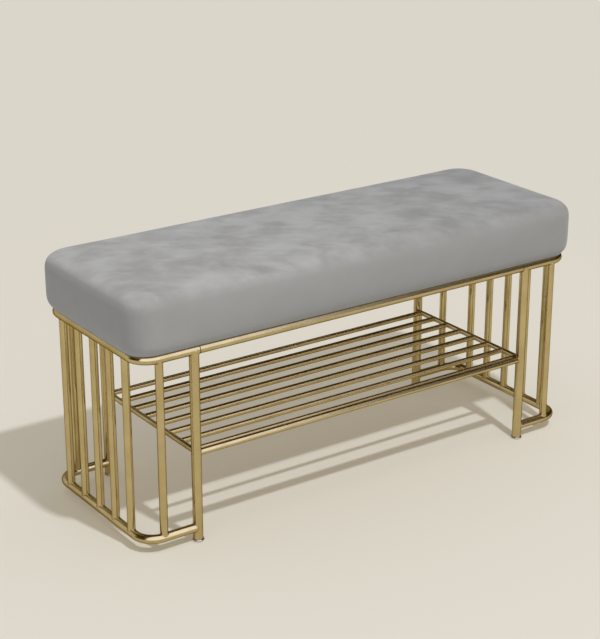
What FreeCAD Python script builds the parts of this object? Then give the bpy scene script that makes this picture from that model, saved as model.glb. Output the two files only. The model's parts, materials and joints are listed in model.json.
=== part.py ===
import FreeCAD, Part
import math
import os
import Sketcher

# Shoe rack bench: a plated tube frame with barred ends, a rod shelf and a padded seat.
# Origin on the floor under the middle of the bench, X along it, Y to the back, Z up, in millimetres.

doc = FreeCAD.newDocument("shoe_rack_bench")
sizes = doc.addObject("Spreadsheet::Sheet", "Sizes")

driving_dimensions = (
    ("seat_length", 1000, "cushion, end to end"),
    ("seat_depth", 354, "cushion, front to back"),
    ("seat_thickness", 110, "cushion, underside to crown"),
    ("seat_corner_radius", 44, "cushion corner seen from above"),
    ("seat_edge_radius", 30, "rounding of the cushion's top edge"),
    ("seat_crown", 3, "rise of the cushion's top inside its rounded edge"),
    ("seat_bottom_inset", 11, "how far the cushion's sides are drawn in at the underside"),
    ("seat_upright_band", 8, "height of the cushion's widest band under the rounded edge"),
    ("cover_thickness", 1.5, "velvet with its backing"),
    ("cover_hem", 40, "width of the cover turned under the board"),
    ("soft_gap", 0.3, "foam to cover, and foam to board"),
    ("board_thickness", 12, "plywood seat board"),
    ("board_inset", 24, "cushion edge to board edge"),
    ("dust_cover_thickness", 0.8, "cloth under the board"),
    ("dust_cover_inset", 3, "board edge to the dust cover's edge"),
    ("end_overhang", 16, "cushion end to the end tube's axis"),
    ("side_overhang", 15, "cushion side to the seat rail's axis"),
    ("ring_height", 364.5, "axis of the tubes under the seat"),
    ("base_height", 26, "axis of the base rails"),
    ("rail_dia", 16.5, "seat rails, top bends and base rails"),
    ("rail_wall", 1.5, "their wall"),
    ("bend_radius", 36, "tube axis round a corner"),
    ("post_dia", 18, "posts"),
    ("post_wall", 1.5, "their wall"),
    ("post_setback", 107, "end tube's axis to the posts"),
    ("saddle_drop", 3, "ring's axis down to a post's top edge"),
    ("bar_dia", 14.5, "upright bars of the ends"),
    ("bar_wall", 1.2, "their wall"),
    ("end_bar_inset", 13.6, "start of a bend to the nearest end bar"),
    ("side_bar_setback", 37.5, "end tube's axis to the bar beside a post"),
    ("shelf_height", 172.5, "axis of the shelf's tubes and rods"),
    ("shelf_tube_dia", 10, "cross tubes that carry the rods"),
    ("shelf_tube_wall", 1.2, "their wall"),
    ("shelf_rod_dia", 10, "long rods"),
    ("shelf_rod_wall", 1, "their wall"),
    ("shelf_rail_dia", 12, "shelf's front rail, between the front posts"),
    ("shelf_rail_wall", 1.2, "its wall"),
    ("shelf_rail_drop", 2, "shelf's tubes down to that rail"),
    ("rod_back_offset", 12, "back posts' axis to the first rod"),
    ("rod_front_offset", 11, "front posts' axis to the last rod"),
    ("weld_gap", 0.1, "root gap of the welded joints"),
    ("strap_width", 25, "flat straps under the seat board"),
    ("strap_thickness", 3, "their thickness"),
    ("strap_setback", 147, "posts to the outer straps"),
    ("screw_setback", 52, "seat rail's axis to the seat screws"),
    ("screw_dia", 6, "seat screw shank"),
    ("screw_head_dia", 11, "seat screw head"),
    ("screw_head_height", 4, "its height"),
    ("screw_socket_dia", 4.6, "hexagon socket across its corners"),
    ("screw_socket_depth", 2.4, "its depth"),
    ("screw_end_gap", 3, "screw's end below the board's top"),
    ("washer_dia", 16, "washer under the screw head"),
    ("washer_thickness", 1.2, "its thickness"),
    ("screw_clearance", 0.3, "hole round the screw, on the radius"),
    ("thread_gap", 0.05, "running gap of a thread, on the radius"),
    ("tee_nut_flange_dia", 18, "nut let into the board's top"),
    ("tee_nut_flange_thickness", 1.5, "its flange"),
    ("tee_nut_barrel_dia", 8, "its barrel"),
    ("tee_nut_barrel_length", 8, "barrel under the flange"),
    ("press_gap", 0.05, "pressed-in pieces, on the radius"),
    ("foot_dia", 22, "levelling foot's disc"),
    ("foot_height", 4, "its thickness"),
    ("foot_edge_radius", 1.2, "rounding of its edges"),
    ("foot_gap", 0.3, "disc to the post's end when screwed right in"),
    ("stem_dia", 8, "levelling foot's threaded stem"),
    ("stem_length", 26, "stem above the disc"),
    ("insert_length", 22, "threaded insert in a post's lower end"),
)
for row, (name, size, meaning) in enumerate(driving_dimensions, 1):
    sizes.set(f"A{row}", meaning)
    sizes.set(f"B{row}", str(size))
    sizes.setAlias(f"B{row}", name)
doc.recompute()

end_bar_count = 5
shelf_rod_count = 8
socket_sides = 6

# Places and radii that several pieces share
end_x = "(Sizes.seat_length / 2 - Sizes.end_overhang)"
rail_y = "(Sizes.seat_depth / 2 - Sizes.side_overhang)"
post_x = f"({end_x} - Sizes.post_setback)"
side_bar_x = f"({end_x} - Sizes.side_bar_setback)"
seat_z = "(Sizes.ring_height + Sizes.rail_dia / 2)"
post_bottom = "(Sizes.foot_height + Sizes.foot_gap)"
post_bore = "(Sizes.post_dia / 2 - Sizes.post_wall)"
strap_top = f"({seat_z} - Sizes.dust_cover_thickness)"
strap_bottom = f"({strap_top} - Sizes.strap_thickness)"
board_bottom = f"({seat_z} + Sizes.cover_thickness)"
board_top = f"({board_bottom} + Sizes.board_thickness)"
strap_x = f"({post_x} - Sizes.strap_setback)"
screw_y = f"({rail_y} - Sizes.screw_setback)"
screw_hole = "(Sizes.screw_dia / 2 + Sizes.screw_clearance)"

along_x = FreeCAD.Rotation(FreeCAD.Vector(0, 1, 0), 90)
along_y = FreeCAD.Rotation(FreeCAD.Vector(1, 0, 0), -90)
upright = FreeCAD.Rotation()
z_axis = FreeCAD.Vector(0, 0, 1)
half_turn = FreeCAD.Rotation(z_axis, 180)
quarter_turn = math.pi / 2

left, right = -1, 1
front, back = -1, 1
side_name = {left: "left", right: "right"}
face_name = {front: "front", back: "back"}

nodes = []


def keep(piece, label):
    piece.Label = label
    nodes.append(piece)


def value(expression):
    return float(sizes.evalExpression(expression))


def bind(item, **cells):
    for prop, expression in cells.items():
        item.setExpression(prop, expression)


def put(item, x="0", y="0", z="0", turn=upright):
    item.Placement = FreeCAD.Placement(FreeCAD.Vector(), turn)
    for axis, expression in zip("xyz", (x, y, z)):
        item.setExpression(f"Placement.Base.{axis}", f"({expression}) * 1 mm")


def cylinder(radius, height, turn=upright, **place):
    rod = doc.addObject("Part::Cylinder", "cylinder")
    bind(rod, Radius=f"({radius}) * 1 mm", Height=f"({height}) * 1 mm")
    put(rod, turn=turn, **place)
    return rod


def cut(base, tool):
    rest = doc.addObject("Part::Cut", "cut")
    rest.Base = base
    rest.Tool = tool
    return rest


def fuse(*pieces):
    whole = doc.addObject("Part::MultiFuse", "fuse")
    whole.Shapes = list(pieces)
    return whole


def group(*pieces):
    several = doc.addObject("Part::Compound", "group")
    several.Links = list(pieces)
    return several


def tube(radius, bore, length, **place):
    return cut(cylinder(radius, length, **place), cylinder(bore, length, **place))


def room(dia):
    # radius that a welded neighbour is cut back to
    return f"(Sizes.{dia} / 2 + Sizes.weld_gap)"


def origin_plane(body, role):
    return next(p for p in body.Origin.OriginFeatures if p.Role == role)


def body_sketch(body, name, role):
    sketch = body.newObject("Sketcher::SketchObject", name)
    sketch.AttachmentSupport = (origin_plane(body, role), "")
    sketch.MapMode = "FlatFace"
    return sketch


def add_radius(sketch, index, expression):
    size = sketch.addConstraint(Sketcher.Constraint("Radius", index, value(expression)))
    sketch.setExpression(f"Constraints[{size}]", f"({expression}) * 1 mm")


def add_circle(sketch, radius):
    # circle round the sketch's own origin
    index = sketch.addGeometry(Part.Circle(FreeCAD.Vector(), z_axis, value(radius)), False)
    sketch.addConstraint(Sketcher.Constraint("Coincident", index, 3, -1, 1))
    add_radius(sketch, index, radius)


def add_distance(sketch, kind, first, second, expression):
    # first and second are (geometry, point) pairs, and second lies on the positive side
    index = sketch.addConstraint(Sketcher.Constraint(kind, *first, *second, value(expression)))
    sketch.setExpression(f"Constraints[{index}]", f"({expression}) * 1 mm")


def add_rounded_rectangle(sketch, half_length, half_depth, radius):
    # four sides and four corner arcs about the sketch's origin
    x = value(f"{half_length} - {radius}")
    y = value(f"{half_depth} - {radius}")
    for turn, centre in enumerate(((x, y), (-x, y), (-x, -y), (x, -y))):
        circle = Part.Circle(FreeCAD.Vector(*centre, 0), z_axis, value(radius))
        sketch.addGeometry(Part.ArcOfCircle(circle, turn * quarter_turn, (turn + 1) * quarter_turn), False)
    for turn in range(4):
        start = sketch.getPoint(turn, 2)
        end = sketch.getPoint((turn + 1) % 4, 1)
        sketch.addGeometry(Part.LineSegment(start, end), False)
    for turn in range(4):
        side = turn + 4
        sketch.addConstraint(Sketcher.Constraint("Tangent", turn, 2, side, 1))
        sketch.addConstraint(Sketcher.Constraint("Tangent", side, 2, (turn + 1) % 4, 1))
        straight = "Horizontal" if turn % 2 == 0 else "Vertical"
        sketch.addConstraint(Sketcher.Constraint(straight, side))
    for turn in (1, 2):
        sketch.addConstraint(Sketcher.Constraint("Equal", 0, turn))
    sketch.addConstraint(Sketcher.Constraint("Symmetric", 0, 3, 2, 3, -1, 1))
    add_radius(sketch, 0, radius)
    add_distance(sketch, "DistanceX", (-1, 1), (0, 3), f"{half_length} - {radius}")
    add_distance(sketch, "DistanceY", (-1, 1), (0, 3), f"{half_depth} - {radius}")


def bent_rail(z, turn, *radii):
    # tube from post to post round one end of the bench, drawn at the left end
    body = doc.addObject("PartDesign::Body", "bent_rail")
    path = body_sketch(body, "path", "XY_Plane")
    start = -value(post_x)
    end = -value(end_x)
    depth = value(rail_y)
    bend = value("Sizes.bend_radius")
    front_corner = Part.Circle(FreeCAD.Vector(end + bend, bend - depth, 0), z_axis, bend)
    back_corner = Part.Circle(FreeCAD.Vector(end + bend, depth - bend, 0), z_axis, bend)
    front_arc = Part.ArcOfCircle(front_corner, 2 * quarter_turn, 3 * quarter_turn)
    back_arc = Part.ArcOfCircle(back_corner, quarter_turn, 2 * quarter_turn)
    front_run = Part.LineSegment(FreeCAD.Vector(start, -depth, 0), FreeCAD.Vector(end + bend, -depth, 0))
    end_run = Part.LineSegment(FreeCAD.Vector(end, bend - depth, 0), FreeCAD.Vector(end, depth - bend, 0))
    back_run = Part.LineSegment(FreeCAD.Vector(end + bend, depth, 0), FreeCAD.Vector(start, depth, 0))
    for piece in (front_run, front_arc, end_run, back_arc, back_run):
        path.addGeometry(piece, False)
    path.addConstraint(Sketcher.Constraint("Tangent", 0, 2, 1, 2))
    path.addConstraint(Sketcher.Constraint("Tangent", 1, 1, 2, 1))
    path.addConstraint(Sketcher.Constraint("Tangent", 2, 2, 3, 2))
    path.addConstraint(Sketcher.Constraint("Tangent", 3, 1, 4, 1))
    path.addConstraint(Sketcher.Constraint("Horizontal", 0))
    path.addConstraint(Sketcher.Constraint("Vertical", 2))
    path.addConstraint(Sketcher.Constraint("Equal", 1, 3))
    path.addConstraint(Sketcher.Constraint("Symmetric", 0, 1, 4, 2, -1))
    add_radius(path, 1, "Sizes.bend_radius")
    add_distance(path, "DistanceX", (0, 1), (-1, 1), post_x)
    add_distance(path, "DistanceY", (0, 1), (-1, 1), rail_y)
    add_distance(path, "DistanceX", (2, 1), (-1, 1), end_x)
    section = body_sketch(body, "section", "YZ_Plane")
    section.setExpression("AttachmentOffset.Base.x", f"-{rail_y} * 1 mm")
    section.setExpression("AttachmentOffset.Base.z", f"-{post_x} * 1 mm")
    for radius in radii:
        add_circle(section, radius)
    pipe = body.newObject("PartDesign::AdditivePipe", "pipe")
    pipe.Profile = section
    pipe.Spine = path
    put(body, z=z, turn=turn)
    return body


def plate(name, half_length, half_depth, radius, thickness, z):
    body = doc.addObject("PartDesign::Body", name)
    outline = body_sketch(body, "outline", "XY_Plane")
    add_rounded_rectangle(outline, half_length, half_depth, radius)
    pad = body.newObject("PartDesign::Pad", "pad")
    pad.Profile = outline
    pad.setExpression("Length", f"({thickness}) * 1 mm")
    put(body, z=z)
    return body


# Room that the straight sides of the seat's tube ring take up, as far as past the posts
seat_rails_room = fuse(*(
    cylinder(room("rail_dia"), f"2 * ({post_x} + Sizes.post_dia)", x=f"-({post_x} + Sizes.post_dia)",
             y=f"{face} * {rail_y}", z="Sizes.ring_height", turn=along_x)
    for face in (front, back)
))

# The four posts, each cut at the top as a saddle that the ring lies in
posts = [(side, face) for face in (front, back) for side in (left, right)]
post_length = f"(Sizes.ring_height - Sizes.saddle_drop - {post_bottom})"
for side, face in posts:
    at = dict(x=f"{side} * {post_x}", y=f"{face} * {rail_y}", z=post_bottom)
    post = tube("Sizes.post_dia / 2", post_bore, post_length, **at)
    keep(cut(post, seat_rails_room), f"{face_name[face]}_{side_name[side]}_post")
posts_room = fuse(*(
    cylinder(room("post_dia"), post_length, x=f"{side} * {post_x}", y=f"{face} * {rail_y}") for side, face in posts
))

# Tubes under the seat and at the base: a bend round each end, straight rails between them over the posts
rail_bore = "(Sizes.rail_dia / 2 - Sizes.rail_wall)"
rails_room = {}
for side, turn in ((left, upright), (right, half_turn)):
    keep(bent_rail("Sizes.ring_height", turn, "Sizes.rail_dia / 2", rail_bore), f"{side_name[side]}_top_bend")
    base = bent_rail("Sizes.base_height", turn, "Sizes.rail_dia / 2", rail_bore)
    keep(cut(base, posts_room), f"{side_name[side]}_base_rail")
    rails_room[side] = fuse(
        bent_rail("Sizes.ring_height", turn, room("rail_dia")),
        bent_rail("Sizes.base_height", turn, room("rail_dia")),
    )
for face in (front, back):
    at = dict(x=f"Sizes.weld_gap - {post_x}", y=f"{face} * {rail_y}", z="Sizes.ring_height", turn=along_x)
    rail = tube("Sizes.rail_dia / 2", rail_bore, f"2 * ({post_x} - Sizes.weld_gap)", **at)
    keep(rail, f"{face_name[face]}_seat_rail")

# Upright bars between the base rail and the top bend of each end
bar_length = "(Sizes.ring_height - Sizes.base_height)"
bar_bore = "Sizes.bar_dia / 2 - Sizes.bar_wall"
outer_bar_y = f"({rail_y} - Sizes.bend_radius - Sizes.end_bar_inset)"
for side in (left, right):
    places = []
    for number in range(end_bar_count):
        share = 2 * number / (end_bar_count - 1) - 1
        places.append((f"end_bar_{number + 1}", end_x, f"{share} * {outer_bar_y}"))
    for face in (front, back):
        places.append((f"{face_name[face]}_bar", side_bar_x, f"{face} * {rail_y}"))
    for label, x, y in places:
        bar = tube("Sizes.bar_dia / 2", bar_bore, bar_length, x=f"{side} * {x}", y=y, z="Sizes.base_height")
        keep(cut(bar, rails_room[side]), f"{side_name[side]}_{label}")

# The shelf: a cross tube at each end, rods between them, a rail between the front posts
shelf_z = "Sizes.shelf_height"
tube_ends = []
for side in (left, right):
    at = dict(x=f"{side} * {post_x}", y=f"-{rail_y}", z=shelf_z, turn=along_y)
    shelf_bore = "Sizes.shelf_tube_dia / 2 - Sizes.shelf_tube_wall"
    cross = tube("Sizes.shelf_tube_dia / 2", shelf_bore, f"2 * {rail_y}", **at)
    keep(cut(cross, posts_room), f"{side_name[side]}_shelf_tube")
    tube_ends.append(cylinder(room("shelf_tube_dia"), f"2 * {rail_y}", **at))
shelf_room = fuse(posts_room, *tube_ends)
rod_span = f"(2 * {rail_y} - Sizes.rod_back_offset - Sizes.rod_front_offset)"
for number in range(shelf_rod_count):
    rod_y = f"{rail_y} - Sizes.rod_back_offset - {number / (shelf_rod_count - 1)} * {rod_span}"
    at = dict(x=f"-{post_x}", y=rod_y, z=shelf_z, turn=along_x)
    rod_bore = "Sizes.shelf_rod_dia / 2 - Sizes.shelf_rod_wall"
    rod = tube("Sizes.shelf_rod_dia / 2", rod_bore, f"2 * {post_x}", **at)
    keep(cut(rod, shelf_room), f"shelf_rod_{number + 1}")
shelf_rail_bore = "Sizes.shelf_rail_dia / 2 - Sizes.shelf_rail_wall"
at = dict(x=f"-{post_x}", y=f"-{rail_y}", z=f"{shelf_z} - Sizes.shelf_rail_drop", turn=along_x)
shelf_rail = tube("Sizes.shelf_rail_dia / 2", shelf_rail_bore, f"2 * {post_x}", **at)
keep(cut(shelf_rail, posts_room), "shelf_front_rail")

# Flat straps between the seat rails, which carry the seat board and its screws
screw_places = []
for name, share in (("left", -1), ("middle", 0), ("right", 1)):
    x = f"{share} * {strap_x}"
    strap = doc.addObject("Part::Box", "strap")
    bind(strap, Length="Sizes.strap_width * 1 mm", Width=f"2 * {rail_y} * 1 mm",
         Height="Sizes.strap_thickness * 1 mm")
    put(strap, x=f"{x} - Sizes.strap_width / 2", y=f"-{rail_y}", z=strap_bottom)
    holes = []
    for face in (front, back):
        place = dict(x=x, y=f"{face} * {screw_y}")
        screw_places.append(place)
        holes.append(cylinder(screw_hole, "Sizes.strap_thickness", z=strap_bottom, **place))
    keep(cut(cut(strap, seat_rails_room), fuse(*holes)), f"{name}_seat_strap")

# Levelling feet, each with its stem in a threaded insert pressed into a post
for side, face in posts:
    corner = f"{face_name[face]}_{side_name[side]}"
    at = dict(x=f"{side} * {post_x}", y=f"{face} * {rail_y}")
    insert_radius = f"{post_bore} - Sizes.press_gap"
    insert_bore = "Sizes.stem_dia / 2 + Sizes.thread_gap"
    keep(tube(insert_radius, insert_bore, "Sizes.insert_length", z=post_bottom, **at), f"{corner}_insert")
    foot = doc.addObject("PartDesign::Body", "foot")
    outline = body_sketch(foot, "disc_outline", "XY_Plane")
    add_circle(outline, "Sizes.foot_dia / 2")
    disc = foot.newObject("PartDesign::Pad", "disc")
    disc.Profile = outline
    disc.setExpression("Length", "Sizes.foot_height * 1 mm")
    doc.recompute()
    rims = [f"Edge{i}" for i, e in enumerate(disc.Shape.Edges, 1) if isinstance(e.Curve, Part.Circle)]
    rounding = foot.newObject("PartDesign::Fillet", "rounding")
    rounding.Base = (disc, rims)
    rounding.setExpression("Radius", "Sizes.foot_edge_radius * 1 mm")
    stem_outline = body_sketch(foot, "stem_outline", "XY_Plane")
    add_circle(stem_outline, "Sizes.stem_dia / 2")
    stem = foot.newObject("PartDesign::Pad", "stem")
    stem.Profile = stem_outline
    stem.setExpression("Length", "(Sizes.foot_height + Sizes.stem_length) * 1 mm")
    put(foot, **at)
    keep(foot, f"{corner}_foot")

# The seat board, let in for its nuts, and the cloth under it
half_seat_length = "Sizes.seat_length / 2"
half_seat_depth = "Sizes.seat_depth / 2"


def seat_plate(name, inset, thickness, z):
    radius = f"(Sizes.seat_corner_radius - {inset})"
    return plate(name, f"{half_seat_length} - {inset}", f"{half_seat_depth} - {inset}", radius, thickness, z)


board_blank = seat_plate("board_blank", "Sizes.board_inset", "Sizes.board_thickness", board_bottom)
dust_inset = "(Sizes.board_inset + Sizes.dust_cover_inset)"
dust_blank = seat_plate("dust_blank", dust_inset, "Sizes.dust_cover_thickness", strap_top)
flange_z = f"{board_top} - Sizes.tee_nut_flange_thickness"
barrel_z = f"({flange_z} - Sizes.tee_nut_barrel_length)"
barrel_length = "Sizes.tee_nut_barrel_length + Sizes.tee_nut_flange_thickness"
board_holes, dust_holes, nuts, screws, washers = [], [], [], [], []
for place in screw_places:
    flange_hole = "Sizes.tee_nut_flange_dia / 2 + Sizes.press_gap"
    barrel_hole = "Sizes.tee_nut_barrel_dia / 2 + Sizes.press_gap"
    board_holes.append(cylinder(flange_hole, "Sizes.tee_nut_flange_thickness", z=flange_z, **place))
    board_holes.append(cylinder(barrel_hole, "Sizes.board_thickness", z=board_bottom, **place))
    dust_holes.append(cylinder(screw_hole, "Sizes.dust_cover_thickness", z=strap_top, **place))
    flange = cylinder("Sizes.tee_nut_flange_dia / 2", "Sizes.tee_nut_flange_thickness", z=flange_z, **place)
    barrel = cylinder("Sizes.tee_nut_barrel_dia / 2", barrel_length, z=barrel_z, **place)
    thread = cylinder("Sizes.screw_dia / 2 + Sizes.thread_gap", barrel_length, z=barrel_z, **place)
    nuts.append(cut(fuse(flange, barrel), thread))
    washer_z = f"({strap_bottom} - Sizes.washer_thickness)"
    washers.append(tube("Sizes.washer_dia / 2", screw_hole, "Sizes.washer_thickness", z=washer_z, **place))
    head_z = f"{washer_z} - Sizes.screw_head_height"
    head = cylinder("Sizes.screw_head_dia / 2", "Sizes.screw_head_height", z=head_z, **place)
    shank_length = f"{board_top} - Sizes.screw_end_gap - {washer_z}"
    shank = cylinder("Sizes.screw_dia / 2", shank_length, z=washer_z, **place)
    socket = doc.addObject("Part::Prism", "socket")
    socket.Polygon = socket_sides
    bind(socket, Circumradius="Sizes.screw_socket_dia / 2 * 1 mm", Height="Sizes.screw_socket_depth * 1 mm")
    put(socket, z=head_z, **place)
    screws.append(cut(fuse(head, shank), socket))
keep(cut(board_blank, fuse(*board_holes)), "seat_board")
keep(cut(dust_blank, fuse(*dust_holes)), "dust_cover")
keep(group(*nuts), "tee_nuts")
keep(group(*washers), "seat_washers")
keep(group(*screws), "seat_screws")


# The cushion: one form for the velvet cover, and the same form drawn in for the foam
side_steps = (0, 0.05, 0.11, 0.18, 0.27, 0.4, 0.65, 1)
side_power = 6.5
edge_angles = (22.5, 45, 67.5, 90)
crown_steps = (0.1, 0.2, 0.3, 0.42, 0.56, 0.7)
crown_power = 4


def cushion_form(skin):
    # a loft of rounded rectangles: drawn-in sides, an upright band, a round edge and a low crown
    edge = f"(Sizes.seat_edge_radius - {skin})"
    shoulder = "(Sizes.seat_thickness - Sizes.seat_crown - Sizes.seat_edge_radius)"
    belly = f"({shoulder} - Sizes.seat_upright_band)"
    levels = []
    for up in side_steps:
        inset = f"({skin} + Sizes.seat_bottom_inset * {(1 - up) ** side_power})"
        levels.append((inset, f"({skin} + ({belly} - {skin}) * {up})"))
    levels.append((skin, shoulder))
    for angle in edge_angles:
        inset = f"({skin} + {edge} * (1 - cos({angle} deg)))"
        levels.append((inset, f"({shoulder} + {edge} * sin({angle} deg))"))
    for share in crown_steps:
        inset = f"({skin} + {edge} + {share} * ({half_seat_depth} - {skin} - {edge}))"
        rise = 1 - (1 - share) ** crown_power
        levels.append((inset, f"({shoulder} + {edge} + Sizes.seat_crown * {rise})"))
    sections = []
    for inset, z in levels:
        section = doc.addObject("Sketcher::SketchObject", "cushion_section")
        half_length = f"({half_seat_length} - {inset})"
        half_depth = f"({half_seat_depth} - {inset})"
        radius = f"(Sizes.seat_corner_radius * (1 - {inset} / ({half_seat_depth})))"
        add_rounded_rectangle(section, half_length, half_depth, radius)
        put(section, z=f"{seat_z} + {z}")
        sections.append(section)
    form = doc.addObject("Part::Loft", "cushion_form")
    form.Sections = sections
    form.Solid = True
    form.Ruled = False
    return form


hem_inset = "(Sizes.seat_bottom_inset + Sizes.cover_hem)"
hem_opening = plate("hem_opening", f"{half_seat_length} - {hem_inset}", f"{half_seat_depth} - {hem_inset}",
                    "Sizes.seat_corner_radius / 2", "Sizes.cover_thickness", seat_z)
cover_inside = cushion_form("Sizes.cover_thickness")
keep(cut(cut(cushion_form("0"), cover_inside), hem_opening), "seat_cover")
foam_block = cushion_form("(Sizes.cover_thickness + Sizes.soft_gap)")
board_room = seat_plate("board_room", "(Sizes.board_inset - Sizes.soft_gap)",
                        "Sizes.board_thickness + Sizes.soft_gap", board_bottom)
keep(cut(foam_block, board_room), "seat_foam")

doc.recompute()
for item in doc.Objects:
    if "Invalid" in item.State or "Error" in item.State:
        raise RuntimeError(f"{item.Name} failed to build: {item.State}")
for piece in nodes:
    if piece.Shape.isNull() or not piece.Shape.isValid():
        raise RuntimeError(f"{piece.Label} has no valid shape")

os.makedirs("parts", exist_ok=True)
for piece in nodes:
    piece.Shape.exportStep(f"parts/{piece.Label}.step")
print(len(nodes), "pieces written")
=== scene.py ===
import bpy
import bmesh
import json
import math
from mathutils import Matrix, Vector, noise


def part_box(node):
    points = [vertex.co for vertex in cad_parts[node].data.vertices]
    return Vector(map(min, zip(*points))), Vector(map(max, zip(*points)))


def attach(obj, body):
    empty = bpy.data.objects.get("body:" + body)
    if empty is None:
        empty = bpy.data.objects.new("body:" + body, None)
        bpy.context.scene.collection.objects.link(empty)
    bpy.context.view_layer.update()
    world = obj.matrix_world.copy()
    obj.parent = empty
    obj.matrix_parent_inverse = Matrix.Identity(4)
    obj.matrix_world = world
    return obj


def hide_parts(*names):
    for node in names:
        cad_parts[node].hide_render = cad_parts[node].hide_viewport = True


# Shoe rack bench: velvet cushion on a satin brass tube frame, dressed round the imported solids

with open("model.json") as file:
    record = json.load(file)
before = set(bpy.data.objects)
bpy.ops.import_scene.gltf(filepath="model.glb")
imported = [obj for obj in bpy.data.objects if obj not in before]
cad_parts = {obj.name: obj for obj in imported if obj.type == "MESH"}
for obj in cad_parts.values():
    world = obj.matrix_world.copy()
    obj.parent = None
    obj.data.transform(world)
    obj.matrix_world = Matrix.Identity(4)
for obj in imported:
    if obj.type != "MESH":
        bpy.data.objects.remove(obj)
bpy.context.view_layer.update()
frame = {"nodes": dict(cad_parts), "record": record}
nodes = frame["nodes"]
scene = bpy.context.scene
print("frame loaded,", len(nodes), "nodes")


def linear(hexText):
    # sRGB hex to the linear values that sockets take
    parts = [int(hexText[i:i + 2], 16) / 255 for i in (1, 3, 5)]
    return [c / 12.92 if c <= 0.04045 else ((c + 0.055) / 1.055) ** 2.4 for c in parts] + [1]


def addNode(tree, kind, inputs=(), **settings):
    # inputs: socket name or number -> a value, or the socket that feeds it
    node = tree.nodes.new(kind)
    for name, value in settings.items():
        setattr(node, name, value)
    for key, value in dict(inputs).items():
        if isinstance(value, bpy.types.NodeSocket):
            tree.links.new(value, node.inputs[key])
        else:
            node.inputs[key].default_value = value
    return node


def startMaterial(name):
    material = bpy.data.materials.new(name)
    material.use_nodes = True
    material.node_tree.nodes.clear()
    return material, material.node_tree


def meshFrom(shape, name):
    mesh = bpy.data.meshes.new(name)
    shape.to_mesh(mesh)
    shape.free()
    return mesh


def addObject(name, mesh):
    piece = bpy.data.objects.new(name, mesh)
    scene.collection.objects.link(piece)
    return piece


def bakeModifiers(piece):
    # the evaluated shape becomes the piece's own plain mesh
    graph = bpy.context.evaluated_depsgraph_get()
    mesh = bpy.data.meshes.new_from_object(piece.evaluated_get(graph))
    piece.modifiers.clear()
    piece.data = mesh


def cutAway(piece, tool, name):
    # takes a closed form out of the piece
    carve = piece.modifiers.new(name, "BOOLEAN")
    carve.operation = "DIFFERENCE"
    carve.solver = "EXACT"
    carve.object = tool
    bakeModifiers(piece)
    bpy.data.objects.remove(tool)


def smoothIn(mesh, finish):
    mesh.polygons.foreach_set("use_smooth", [True] * len(mesh.polygons))
    mesh.materials.clear()
    mesh.materials.append(finish)


# Materials

mixColour = dict(data_type="RGBA")  # of a Mix node: factor 0, colours 6 and 7, result 2
brassLook = {
    "light": "#CBB887", "deep": "#BFAB79", "edge": "#8A764B", "cloudSize": 0.055, "tintRange": (0.35, 0.65),
    "rough": 0.15, "roughSpread": 0.04, "roughRange": (0.3, 0.7),
    "grainSize": 0.0009, "grainRough": 0.02, "grainBump": 0.01, "grainDepth": 0.0002,
}
# thin drawn rod, plated flatter than the tubes; its colour is drawn darker as painted shade from the seat above
seatShadedRodLook = {**brassLook, "light": "#C1AB75", "deep": "#B49D68", "rough": 0.24}
# plating that stayed dull in a gap
seamLook = {**brassLook, "light": "#6B5A34", "deep": "#4F4222", "edge": "#4A3E22"}


def makeBrass(name, look):
    # satin brass plating on drawn steel tube: a warm mirror, softened by fine grain, with faint uneven tint
    material, tree = startMaterial(name)
    place = addNode(tree, "ShaderNodeTexCoord").outputs["Object"]
    cloud = addNode(tree, "ShaderNodeTexNoise", {
        "Vector": place, "Scale": 1 / look["cloudSize"], "Detail": 3, "Roughness": 0.55})
    grain = addNode(tree, "ShaderNodeTexNoise", {  # real grain is near 0.1 mm, drawn coarser so that it shows
        "Vector": place, "Scale": 1 / look["grainSize"], "Detail": 2})
    tintFrom, tintTo = look["tintRange"]
    share = addNode(tree, "ShaderNodeMapRange", {0: cloud.outputs[0], 1: tintFrom, 2: tintTo})
    tint = addNode(tree, "ShaderNodeMix", {
        0: share.outputs[0], 6: linear(look["deep"]), 7: linear(look["light"])}, **mixColour)
    roughFrom, roughTo = look["roughRange"]
    dull = addNode(tree, "ShaderNodeMapRange", {
        0: cloud.outputs[0], 1: roughFrom, 2: roughTo, 3: look["rough"] + look["roughSpread"], 4: look["rough"]})
    gloss = addNode(tree, "ShaderNodeMath", {0: grain.outputs[0], 1: look["grainRough"], 2: dull.outputs[0]},
                    operation="MULTIPLY_ADD")
    bump = addNode(tree, "ShaderNodeBump", {
        "Height": grain.outputs[0], "Strength": look["grainBump"], "Distance": look["grainDepth"]})
    shader = addNode(tree, "ShaderNodeBsdfPrincipled", {
        "Base Color": tint.outputs[2], "Metallic": 1, "Roughness": gloss.outputs[0], "Normal": bump.outputs[0],
        "Specular Tint": linear(look["edge"])})
    addNode(tree, "ShaderNodeOutputMaterial", {0: shader.outputs[0]})
    return material


velvetLook = {
    # painted shade: the end colour is drawn deeper than the side colour, for the ends the lamp doesn't reach
    # painted shade: the right-end side colour is drawn darker than the side colour, as the light falls off to the
    # right
    "light": "#B3B2B1", "deep": "#989795", "side": "#9F9D9A", "sideRightShade": "#999794", "end": "#9A9998",
    "rightEndShade": "#E2E2E2", "rightShadeRun": (-0.45, 0.5),  # painted shade: how much darker the right end is drawn, and between which X
    "patchSize": 0.085, "patchDetail": 4, "patchRough": 0.56, "patchTwist": 0.3,
    "strokeSize": 0.022, "strokeTurn": -0.6, "strokeStretch": 2.4, "strokeTwist": 0.25, "strokeShare": 0.34,
    "markRange": (0.43, 0.91), "endShadeRange": (0.3, 0.9), "topRange": (0.3, 0.93), "sideMarks": 0.12,
    "pileSize": 0.0016, "pileBump": 0.12, "pileDepth": 0.0008,
    "rough": 0.88, "shine": 0.2, "sheen": 0.25, "sheenRough": 0.45, "sheenTint": "#E8E8EA",
}


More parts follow.
